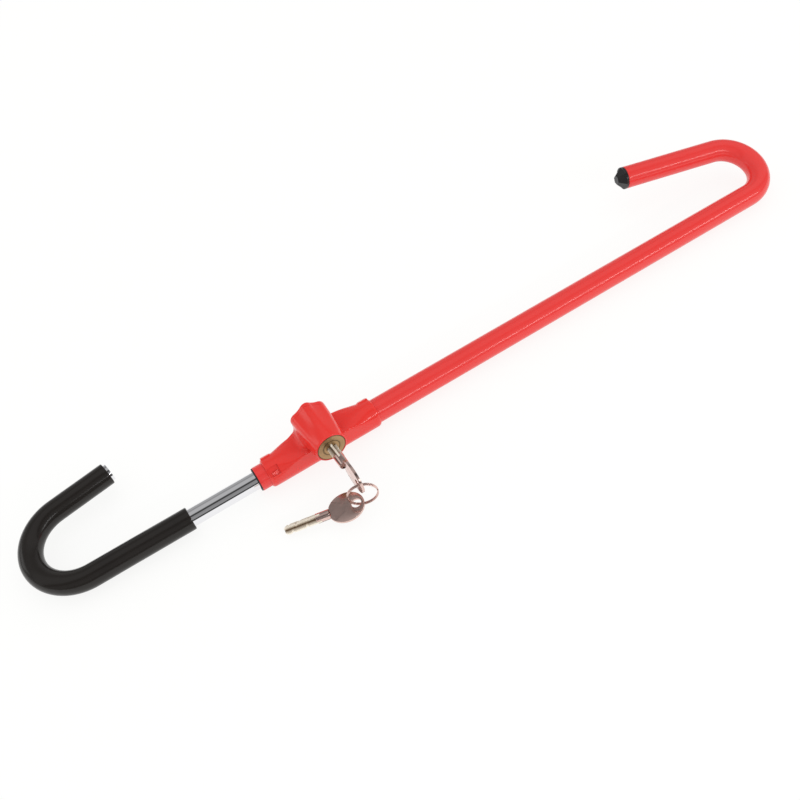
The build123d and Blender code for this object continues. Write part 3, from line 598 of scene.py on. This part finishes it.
LATCH_SHIFT = 0.3
LATCH_DROP = 9.0
LATCH_SINK = 0.75
LATCH_EDGE = 0.25
ROOM = 0.12
TUBE_ROOM = 0.06
FLANGE_ROOM = 0.22
BLOCK_STEP = 3.6
SHELL_R = 9.3
SCREW_HEAD_R = 2.6
SCREW_HEAD_HOLE_R = 2.75
SCREW_HOLE_R = 1.45
SCREW_SEAT = 1.0
SEAM_Y = 6.1
SEAM_HALF_GAP = 0.06
VOXEL = 0.35
SMOOTHING_ROUNDS = 11
SHELL_SHARP_ANGLE = math.radians(30)


def skin(bm, rings):
    """Faces between matching rings of points, with a face over each end."""
    rows = [[bm.verts.new(point) for point in ring] for ring in rings]
    count = len(rows[0])
    for row, following in zip(rows, rows[1:]):
        for i in range(count):
            j = (i + 1) % count
            bm.faces.new((row[i], row[j], following[j], following[i]))
    bm.faces.new(rows[0])
    bm.faces.new(rows[-1])


def smoothstep(x):
    """0 to 1 with level ends."""
    x = min(1.0, max(0.0, x))
    return x * x * (3 - 2 * x)


red_shell = finish("red_moulded_shell", (0.77, 0.036, 0.028), (0.745, 0.031, 0.024), 0.17, 0.03, patch=35,
                   grain=260, depth=0.00003)


def wing_reach(angle, x):
    """Reach of a wing's section from the tube's axis. The flat top is crowned into a round towards the ends,
    and a flat pad below is what the lock stands on."""
    out = min(1.0, max(0.0, (abs(x) - WING_FLAT_TO) / (WING_ROUND_FROM - WING_FLAT_TO)))
    shoulder = WING_TOP * (1 - out * out)
    rise, side = math.sin(angle), abs(math.cos(angle))
    if rise <= 0:
        on_pad = side * TUBE_Z < PAD_HALF_Y * -rise
        return TUBE_Z / -rise if on_pad else WING_R
    if side > 1e-9 and WING_R * rise / side <= shoulder:
        return WING_R / side
    crown = WING_R - shoulder + CROWN
    a = (side / WING_R) ** 2 + (rise / crown) ** 2
    b = -2 * rise * shoulder / crown ** 2
    c = (shoulder / crown) ** 2 - 1
    return (-b + math.sqrt(b * b - 4 * a * c)) / (2 * a)


def wings():
    """Both wings as one closed bar along the tube, its ends eased."""
    bm = bmesh.new()
    rings = []
    for row in range(WING_ROWS + 1):
        x = WING_ENDS[0] + (WING_ENDS[1] - WING_ENDS[0]) * row / WING_ROWS
        ring = []
        for step in range(2 * HALF_TURN_STEPS):
            angle = math.pi * step / HALF_TURN_STEPS
            reach = wing_reach(angle, x) - WING_END_INSET.get(row, 0.0)
            ring.append(Vector((x, reach * math.cos(angle), TUBE_Z + reach * math.sin(angle))) * MM)
        rings.append(ring)
    skin(bm, rings)
    return bm


def bend(start, via, end, steps=8):
    """Points along the arc through three points, without the first."""
    (ax, ay), (bx, by), (cx, cy) = start, via, end
    d = 2 * (ax * (by - cy) + bx * (cy - ay) + cx * (ay - by))
    a2, b2, c2 = ax * ax + ay * ay, bx * bx + by * by, cx * cx + cy * cy
    x = (a2 * (by - cy) + b2 * (cy - ay) + c2 * (ay - by)) / d
    y = (a2 * (cx - bx) + b2 * (ax - cx) + c2 * (bx - ax)) / d
    first = math.atan2(ay - y, ax - x)
    turn = math.remainder(math.atan2(cy - y, cx - x) - first, 2 * math.pi)
    reach = math.hypot(ax - x, ay - y)
    return [(x + reach * math.cos(first + turn * i / steps), y + reach * math.sin(first + turn * i / steps))
            for i in range(1, steps + 1)]


def loaf_top():
    """Right half of the loaf's top, as X and height: flank, shoulder, shallow flute and ridge."""
    flank, shoulder, flute, ridge = (11.8, 19.6), (9.0, 25.5), (2.9, 29.0), (0.0, 30.2)
    points = [flank] + bend(flank, (11.3, 23.4), shoulder)
    return points + bend(shoulder, (6.0, 26.7), flute) + bend(flute, (1.6, 29.9), ridge)


def loaf_outline():
    """The loaf's section round the barrel's axis. Only its left flank flares into the wing."""
    top = loaf_top()
    foot, waist = (12.8, 8.6), (-11.7, 16.5)
    right = [(12.8, -4.0), foot] + bend(foot, (12.1, 9.6), (12.05, 11.2), 4)
    left = [(-x, z) for x, z in reversed(top)] + [waist]
    left += bend(waist, (-13.2, 11.6), (-18.6, 8.8), 12) + [(-18.0, 4.0), (-12.8, -4.0)]
    rise = BARREL_Z / MM - TUBE_Z
    return [(x, z - rise) for x, z in right + top + left]


def reach_at(outline, angle):
    """Distance from the origin to a closed outline along an angle."""
    heading = (math.cos(angle), math.sin(angle))
    best = 0.0
    for a, b in zip(outline, outline[1:] + outline[:1]):
        side_a = heading[0] * a[1] - heading[1] * a[0]
        side_b = heading[0] * b[1] - heading[1] * b[0]
        if side_a * side_b <= 0 and abs(side_a - side_b) > 1e-12:
            share = side_a / (side_a - side_b)
            along = sum(h * (p + (q - p) * share) for h, p, q in zip(heading, a, b))
            best = max(best, along)
    return best


def loaf():
    """The loaf as two closed lengths, because its nose is cut away underneath where it leaves the wings."""
    angles = [math.pi * step / HALF_TURN_STEPS for step in range(2 * HALF_TURN_STEPS)]
    outline = loaf_outline()
    full = [reach_at(outline, a) for a in angles]
    nose = [r if math.sin(a) > NOSE_UNDERCUT else min(r, NOSE_UNDER_R) for a, r in zip(angles, full)]
    axis_z = BARREL_Z / MM

    def ring(y, reach, inset=0.0):
        return [Vector(((r - inset) * math.cos(a), y, axis_z + (r - inset) * math.sin(a))) * MM
                for a, r in zip(angles, reach)]

    def taper(y):
        """The loaf narrows all the way to the rim, and the flare beside it ends at the wing's front."""
        share = ((LOAF_BACK_Y - y) / (LOAF_BACK_Y - FACE_Y)) ** LOAF_TAPER
        flare = 1 - smoothstep((FLARE_Y[0] - y) / (FLARE_Y[0] - FLARE_Y[1]))
        reach = full if y > NOSE_Y else nose
        kept = [min(r, FLARE_FROM) + max(0.0, r - FLARE_FROM) * flare for r in reach]
        return [RIM_R + (r - RIM_R) * (1 - share) for r in kept]

    bm = bmesh.new()
    back = [ring(LOAF_BACK_Y, full, LOAF_BACK_EASE), ring(LOAF_BACK_Y - LOAF_BACK_LIP, full, LOAF_BACK_LIP)]
    for rings, start, end in (
        (back, LOAF_BACK_Y - LOAF_BACK_EASE, NOSE_Y + NOSE_OVERLAP),
        ([], NOSE_Y, FACE_Y),
    ):
        for step in range(LOAF_STEPS + 1):
            y = start + (end - start) * step / LOAF_STEPS
            rings.append(ring(y, taper(y)))
        skin(bm, rings)
    return bm


def snap_tabs():
    """A leaning tab over the seam near each wing's end."""
    bm = bmesh.new()
    lean = Matrix.Rotation(TAB_LEAN, 4, "X")
    for low, high in TAB_X:
        size = Matrix.Diagonal(((high - low) * MM, TAB_LENGTH * MM, TAB_THICKNESS * MM, 1))
        middle = Vector(((low + high) / 2, TAB_Y, TUBE_Z + TAB_LIFT)) * MM
        bmesh.ops.create_cube(bm, size=1.0, matrix=Matrix.Translation(middle) @ lean @ size)
    return bm


def as_object(bm, name):
    mesh = bpy.data.meshes.new(name)
    bm.to_mesh(mesh)
    bm.free()
    made = bpy.data.objects.new(name, mesh)
    bpy.context.scene.collection.objects.link(made)
    return made


def merged(bms, name):
    """Several closed shapes run together into one smooth skin, as a moulding's corners are."""
    whole = bmesh.new()
    for part in bms:
        mesh = bpy.data.meshes.new("part")
        bmesh.ops.recalc_face_normals(part, faces=part.faces)
        part.to_mesh(mesh)
        part.free()
        whole.from_mesh(mesh)
        bpy.data.meshes.remove(mesh)
    made = as_object(whole, name)
    remesh = made.modifiers.new("one_skin", "REMESH")
    remesh.mode = "VOXEL"
    remesh.voxel_size = VOXEL * MM
    ease = made.modifiers.new("soft_corners", "SMOOTH")
    ease.factor = 0.5
    ease.iterations = SMOOTHING_ROUNDS
    frozen(made)
    return made


def cut(subject, cutters):
    """Take closed shapes out of an object, one after another."""
    for number, bm in enumerate(cutters):
        bmesh.ops.recalc_face_normals(bm, faces=bm.faces)
        tool = as_object(bm, f"cutter_{number}")
        take = subject.modifiers.new("take", "BOOLEAN")
        take.operation = "DIFFERENCE"
        take.solver = "EXACT"
        take.object = tool
        frozen(subject)
        bpy.data.objects.remove(tool)


def drum(start, end, radius, steps=64):
    """A plain closed cylinder between two points."""
    bm = bmesh.new()
    start, end = Vector(start), Vector(end)
    turn = (end - start).to_track_quat("Z", "Y").to_matrix().to_4x4()
    middle = Matrix.Translation((start + end) / 2)
    bmesh.ops.create_cone(bm, cap_ends=True, segments=steps, radius1=radius, radius2=radius,
                          depth=(end - start).length, matrix=middle @ turn)
    return bm


def brick(low, high):
    """A plain closed block between two corners."""
    bm = bmesh.new()
    low, high = Vector(low), Vector(high)
    place = Matrix.Translation((low + high) / 2) @ Matrix.Diagonal((*(high - low), 1))
    bmesh.ops.create_cube(bm, size=1.0, matrix=place)
    return bm


def housing_room():
    """The hollows in the housing: tube, lock block, barrel, flange, top screw and the rear screws."""
    room = ROOM * MM
    block_low, block_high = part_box("lock_block")
    cap_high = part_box("spring_cap_screw")[1]
    flange_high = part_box("cylinder_shell")[1]
    screw_low, screw_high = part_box("cover_screws")
    grow = Vector((room, room, room))
    chamber_low = Vector((block_low.x, -block_high.y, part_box("weld_beads")[0].z)) - grow
    axis = TUBE_Z * MM
    past_wings, flange_back, past_face, past_back = (at * MM for at in (60, -15, FACE_Y - 2, 12))
    cuts = [
        drum((-past_wings, 0, axis), (past_wings, 0, axis), (TUBE_R + TUBE_ROOM) * MM),
        brick(chamber_low, block_high - Vector((0, 0, BLOCK_STEP * MM)) + grow),
        drum((0, 0, BARREL_Z), (0, block_low.y - room, BARREL_Z), SHELL_R * MM + room),
        drum((0, flange_back, BARREL_Z), (0, past_face, BARREL_Z), flange_high.x + FLANGE_ROOM * MM),
        drum((0, 0, BARREL_Z), (0, 0, cap_high.z + room), cap_high.x + room),
    ]
    seat = (LOAF_BACK_Y - SCREW_SEAT) * MM
    for side in (-1, 1):
        x = side * (screw_high.x - SCREW_HEAD_R * MM)
        z = (screw_low.z + screw_high.z) / 2
        cuts.append(drum((x, 0, z), (x, past_back, z), SCREW_HOLE_R * MM, 24))
        cuts.append(drum((x, seat, z), (x, past_back, z), SCREW_HEAD_HOLE_R * MM, 40))
    return cuts


def shoulder_block(bm, x, lift, out, size):
    """A block on the wing's front shoulder, given X, angle above level and distance from the tube's axis."""
    turn = Matrix.Rotation(math.radians(-lift), 4, "X")
    place = turn @ Vector((x, -out, 0)) + Vector((0, 0, TUBE_Z))
    across = Matrix.Diagonal((*(Vector(size) * MM), 1))
    bmesh.ops.create_cube(bm, size=1.0, matrix=Matrix.Translation(place * MM) @ turn @ across)


def clip_window():
    """The square opening on the left wing's shoulder, and the latch of the rear half that shows in it."""
    opening, latch = bmesh.new(), bmesh.new()
    shoulder_block(opening, WINDOW_X, WINDOW_LIFT, WING_R, WINDOW_SIZE)
    shoulder_block(latch, WINDOW_X + LATCH_SHIFT, WINDOW_LIFT - LATCH_DROP, WING_R - LATCH_SINK, LATCH_SIZE)
    bmesh.ops.bevel(latch, geom=latch.edges[:], offset=LATCH_EDGE * MM, segments=2, affect="EDGES")
    return opening, latch


def half_of(whole, name, side):
    """One half of the housing, cut at the seam and capped; side is +1 for the rear."""
    bm = bmesh.new()
    bm.from_mesh(whole.data)
    everything = bm.verts[:] + bm.edges[:] + bm.faces[:]
    seam = (SEAM_Y + side * SEAM_HALF_GAP) * MM
    cut_made = bmesh.ops.bisect_plane(bm, geom=everything, plane_co=(0, seam, 0), plane_no=(0, side, 0),
                                      clear_inner=True)
    edges = [e for e in cut_made["geom_cut"] if isinstance(e, bmesh.types.BMEdge)]
    bmesh.ops.triangle_fill(bm, edges=edges, use_beauty=True)
    return settle(bm, name, red_shell, SHELL_SHARP_ANGLE)


window, latch = clip_window()
whole_housing = merged([wings(), loaf(), snap_tabs()], "housing")
cut(whole_housing, [window] + housing_room())
put(half_of(whole_housing, "front_shell", -1), "tube", "red_shell", "front_cover")
put(settle(latch, "clip_latch", red_shell), "tube", "red_shell")
put(half_of(whole_housing, "rear_shell", 1), "tube", "red_shell", "rear_cover")
bpy.data.objects.remove(whole_housing)

# ---------------------------------------------------------------- keys
# Two alike: a cross-shaped milled blade, a sheet collar rolled round it, and an oval pressed bow gripped in
# the collar's other end. All nickel plated and warm in tone, the blade duller than the bow.
KEY_HOLE_Y = -55.0
KEY_TIP_Y = -9.5
BLADE_HALF_SPAN = 3.2
BLADE_HALF_T = 0.58
BLADE_IN_COLLAR = 3.0
BLADE_ROWS = 150
TIP_TAPER = 1.1
TIP_LENGTH = 1.6
COLLAR_Y = (-38.0, -29.4)
COLLAR_R = 3.4
COLLAR_SHEET = 0.5
COLLAR_TURN = 1.2
COLLAR_LAP_GAP = 0.12
COLLAR_LIP_ANGLE = math.radians(150)
COLLAR_CORE_R = 2.3
COLLAR_CORE_SHORT_BY = 1.0
COLLAR_STEPS = 84
# Distance in from either end of the collar, and how much its edge is eased there
COLLAR_LIPS = ((0.0, 0.16), (0.15, 0.04), (0.4, 0.0))
BOW_CENTRE_Y = -48.6
BOW_HALF_LENGTH = 11.4
BOW_HALF_WIDTH = 10.2
BOW_T = 1.7
BOW_EDGE = 0.4
BOW_STEPS = 88
BOW_HOLE_R = 3.1
BOW_HOLE_STEPS = 48
TONGUE_Y = -33.0
TONGUE_HALF_Z = 2.3
# Cuts in the blade: place along Y, depth, and which of the four fins
BITTING = ((-25.5, 0.5, 0), (-23.2, 0.9, 1), (-21.0, 0.7, 2), (-19.4, 0.4, 3), (-17.2, 0.9, 0),
           (-15.6, 0.6, 2), (-14.2, 0.8, 1), (-12.4, 0.5, 3))
BITE_HALF = 0.9
BLADE_SHARP_ANGLE = math.radians(25)
# Painted shade, in brown, for the blade's inner corners between the fins
CORNER_SHADE_BROWN = (0.16, 0.085, 0.035, 1)
nickel = finish("warm_nickel", (0.80, 0.585, 0.53), (0.72, 0.52, 0.47), 0.22, 0.06, patch=160, smudge=260,
                grain=500, stretch=(1, 0.2, 1), depth=0.000004, metallic=1.0)


def satin_nickel():
    """The blade's dull plating, with painted shade in brown along the blade's inner corners, where the fins
    meet.
    """
    made = finish("satin_nickel", (0.95, 0.88, 0.76), (0.88, 0.79, 0.66), 0.34, 0.08, patch=300, smudge=300,
                  depth=0.00001, metallic=0.3)
    tree = made.node_tree
    shader = tree.nodes["Principled BSDF"]
    corner_shade = node(tree, "ShaderNodeAttribute", attribute_name="corner_shade")
    corner_shade_mix = node(tree, "ShaderNodeMix", data_type="RGBA")
    corner_shade_mix.inputs["B"].default_value = CORNER_SHADE_BROWN
    tree.links.new(corner_shade.outputs["Fac"], corner_shade_mix.inputs["Factor"])
    tree.links.new(shader.inputs["Base Color"].links[0].from_socket, corner_shade_mix.inputs["A"])
    tree.links.new(corner_shade_mix.outputs["Result"], shader.inputs["Base Color"])
    return made


satin = satin_nickel()


def key_frame(hole, axis, normal):
    """Turns a key's own place, blade along Y and bow across X, into its place on the ring."""
    axis = axis.normalized()
    normal = (normal - axis * normal.dot(axis)).normalized()
    turn = Matrix((normal, axis, normal.cross(axis))).transposed().to_4x4()
    centred = Matrix.Translation(Vector((0, -KEY_HOLE_Y * MM, -BARREL_Z)))
    return Matrix.Translation(hole * MM) @ turn @ centred


def blade(bm, frame_of):
    """Four fins with their cuts, narrowed at the tip; the inner corners are marked for painted shade."""
    corner_shade_layer = bm.verts.layers.float.new("corner_shade")
    rings = []
    start = COLLAR_Y[1] - BLADE_IN_COLLAR
    for row in range(BLADE_ROWS + 1):
        y = start + (KEY_TIP_Y - start) * row / BLADE_ROWS
        ring = []
        for fin in range(4):
            reach = BLADE_HALF_SPAN
            for at, depth, cut_fin in BITTING:
                if cut_fin == fin:
                    reach -= depth * max(0.0, 1 - (abs(y - at) / BITE_HALF) ** 3)
            reach -= TIP_TAPER * max(0.0, 1 - (KEY_TIP_Y - y) / TIP_LENGTH)
            along = Vector((math.cos(math.pi / 2 * fin), 0, math.sin(math.pi / 2 * fin)))
            side = Vector((-along.z, 0, along.x))
            for a, b in ((reach, -BLADE_HALF_T), (reach, BLADE_HALF_T), (BLADE_HALF_T, BLADE_HALF_T)):
                ring.append(frame_of @ ((along * a + side * b + Vector((0, y, BARREL_Z / MM))) * MM))
        rings.append(ring)
    skin(bm, rings)
    for number, vert in enumerate(bm.verts):
        vert[corner_shade_layer] = 1.0 if number % 3 == 2 else 0.0


def collar(bm, frame_of):
    """The rolled sheet, a little more than one turn of it, with eased lips and the blade's root inside."""
    rings = []
    low, high = COLLAR_Y
    lips = [(low + inset, ease) for inset, ease in COLLAR_LIPS]
    lips += [(high - inset, ease) for inset, ease in reversed(COLLAR_LIPS)]
    for y, ease in lips:
        outer, inner = [], []
        for step in range(COLLAR_STEPS + 1):
            share = step / COLLAR_STEPS
            angle = 2 * math.pi * COLLAR_TURN * share + COLLAR_LIP_ANGLE
            reach = COLLAR_R - (COLLAR_SHEET + COLLAR_LAP_GAP) * COLLAR_TURN * share
            way = Vector((math.cos(angle), 0, math.sin(angle)))
            height = Vector((0, y, BARREL_Z / MM))
            outer.append(frame_of @ ((way * (reach - ease) + height) * MM))
            inner.append(frame_of @ ((way * (reach - COLLAR_SHEET + ease * 0.5) + height) * MM))
        rings.append(outer + inner[::-1])
    skin(bm, rings)
    core_r = COLLAR_CORE_R * MM
    core_length = (high - low - COLLAR_CORE_SHORT_BY) * MM
    core = bmesh.ops.create_cone(bm, cap_ends=True, segments=32, radius1=core_r, radius2=core_r,
                                 depth=core_length, matrix=Matrix.Rotation(math.pi / 2, 4, "X"))
    middle = Vector((0, (low + high) / 2, BARREL_Z / MM)) * MM
    bmesh.ops.transform(bm, matrix=frame_of @ Matrix.Translation(middle), verts=core["verts"])


def bow(name, frame_of, body, node_name):
    """The oval plate with its ring hole and the tongue that the collar grips."""
    outline = []
    corner = math.acos((COLLAR_Y[0] - BOW_CENTRE_Y) / BOW_HALF_LENGTH)
    for step in range(BOW_STEPS + 1):
        angle = corner + (2 * math.pi - 2 * corner) * step / BOW_STEPS
        outline.append((BOW_CENTRE_Y + BOW_HALF_LENGTH * math.cos(angle), BOW_HALF_WIDTH * math.sin(angle)))
    outline += [(COLLAR_Y[0], -TONGUE_HALF_Z), (TONGUE_Y, -TONGUE_HALF_Z), (TONGUE_Y, TONGUE_HALF_Z),
                (COLLAR_Y[0], TONGUE_HALF_Z)]
    turns = [2 * math.pi * step / BOW_HOLE_STEPS for step in range(BOW_HOLE_STEPS)]
    hole = [(KEY_HOLE_Y + BOW_HOLE_R * math.cos(a), BOW_HOLE_R * math.sin(a)) for a in turns]
    bm = bmesh.new()
    for loop in (outline, hole):
        verts = [bm.verts.new(Vector((0, y, z)) * MM + Vector((0, 0, BARREL_Z))) for y, z in loop]
        for one, two in zip(verts, verts[1:] + verts[:1]):
            bm.edges.new((one, two))
    bmesh.ops.triangle_fill(bm, edges=bm.edges[:], use_beauty=True)
    plate = as_object(bm, name)
    thick = plate.modifiers.new("sheet", "SOLIDIFY")
    thick.thickness = BOW_T * MM
    thick.offset = 0.0
    ease = plate.modifiers.new("pressed_edge", "BEVEL")
    ease.width = BOW_EDGE * MM
    ease.segments = 3
    ease.limit_method = "ANGLE"
    ease.angle_limit = math.radians(60)
    frozen(plate)
    bm = bmesh.new()
    bm.from_mesh(plate.data)
    bpy.data.objects.remove(plate)
    bmesh.ops.transform(bm, matrix=frame_of, verts=bm.verts)
    put(settle(bm, name, nickel), body, "nickel", node_name)


def key(prefix, frame_of, body):
    """A whole key: blade, collar and bow."""
    bm = bmesh.new()
    blade(bm, frame_of)
    put(settle(bm, prefix + "key_blade", satin, BLADE_SHARP_ANGLE), body, "nickel", prefix + "key_shank")
    bm = bmesh.new()
    collar(bm, frame_of)
    put(settle(bm, prefix + "key_collar", nickel), body, "nickel", prefix + "key_shank")
    bow(prefix + "key_bow_plate", frame_of, body, prefix + "key_bow")


SPARE_HOLE = Vector((-5.0, -53.4, 8.9))
SPARE_TIP = Vector((-46.1, -40.7, 4.0))
SPARE_BOW_NORMAL = Vector((-0.1081, 0.0334, 0.9936))
key("", Matrix.Identity(4), "key")
key("spare_", key_frame(SPARE_HOLE, SPARE_TIP - SPARE_HOLE, SPARE_BOW_NORMAL), "spare_key")

# ---------------------------------------------------------------- split ring
# Spring wire wound twice round and plated, the two turns lying side by side and crossing over at one place.
# Both keys hang on it by the holes in their bows.
RING_R = 9.2
RING_WIRE_R = 0.48
RING_LEVEL = Vector((0.944, -0.33, 0)).normalized()
RING_CENTRE = Vector((0, -55.0, 15.9))
RING_HALF_LAY = 1.01 * RING_WIRE_R
RING_STEP = 0.5
RING_SIDES = 18
RING_SHARP_ANGLE = math.radians(60)
# The wire's line in degrees: where it starts, how far it runs, its crossover's length, and between points
RING_START = 10
RING_RUN = 716
RING_CROSSOVER = 24
RING_DEGREES = 4


def ring_line():
    """Points along the wire, in metres."""
    upright = Vector((0, 0, 1))
    normal = RING_LEVEL.cross(upright)
    points = []
    for degree in range(0, RING_RUN + 1, RING_DEGREES):
        turn = math.radians(degree + RING_START)
        layer = 2 * smoothstep((degree - 360) / RING_CROSSOVER + 0.5) - 1
        way = RING_LEVEL * math.cos(turn) + upright * math.sin(turn)
        points.append((RING_CENTRE + way * RING_R + normal * layer * RING_HALF_LAY) * MM)
    return points


wire = grown("split_ring_wire", SWEPT_BAR, ring_line(), Radius=RING_WIRE_R * MM, Step=RING_STEP * MM,
             Sides=RING_SIDES, Closed_Ends=True, Finish=nickel)
bm = bmesh.new()
bm.from_mesh(wire)
bpy.data.meshes.remove(wire)
put(settle(bm, "split_ring_wire", nickel, RING_SHARP_ANGLE), "ring", "nickel", "split_ring")
